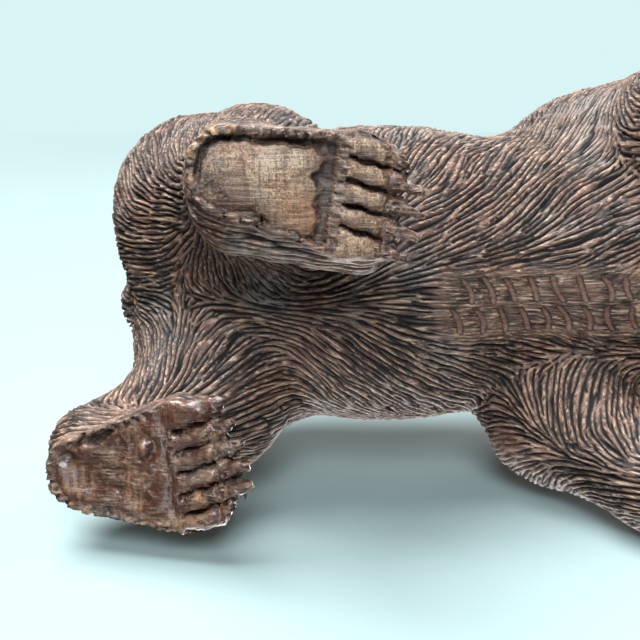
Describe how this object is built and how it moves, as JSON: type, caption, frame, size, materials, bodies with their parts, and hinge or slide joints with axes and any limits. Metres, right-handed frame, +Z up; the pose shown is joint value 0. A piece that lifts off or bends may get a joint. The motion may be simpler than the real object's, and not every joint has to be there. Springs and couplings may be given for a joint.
{
  "type": "carved wooden bear",
  "caption": "Bear carved from one block of wood, walking on its four feet, with gouged fur, sunk sole pads and claws.",
  "frame": {"origin": "on the ground, at the middle of the part's bounding box seen from above", "axes": "+Z up, the bear faces -Y, its left side is +X"},
  "size_m": [0.1414, 0.2976, 0.1516],
  "materials": {
    "stained_wood": "dark brown stain, satin, worn to bare wood on the soles"
  },
  "bodies": {
    "root": {"bear": "stained_wood"}
  },
  "joints": []
}
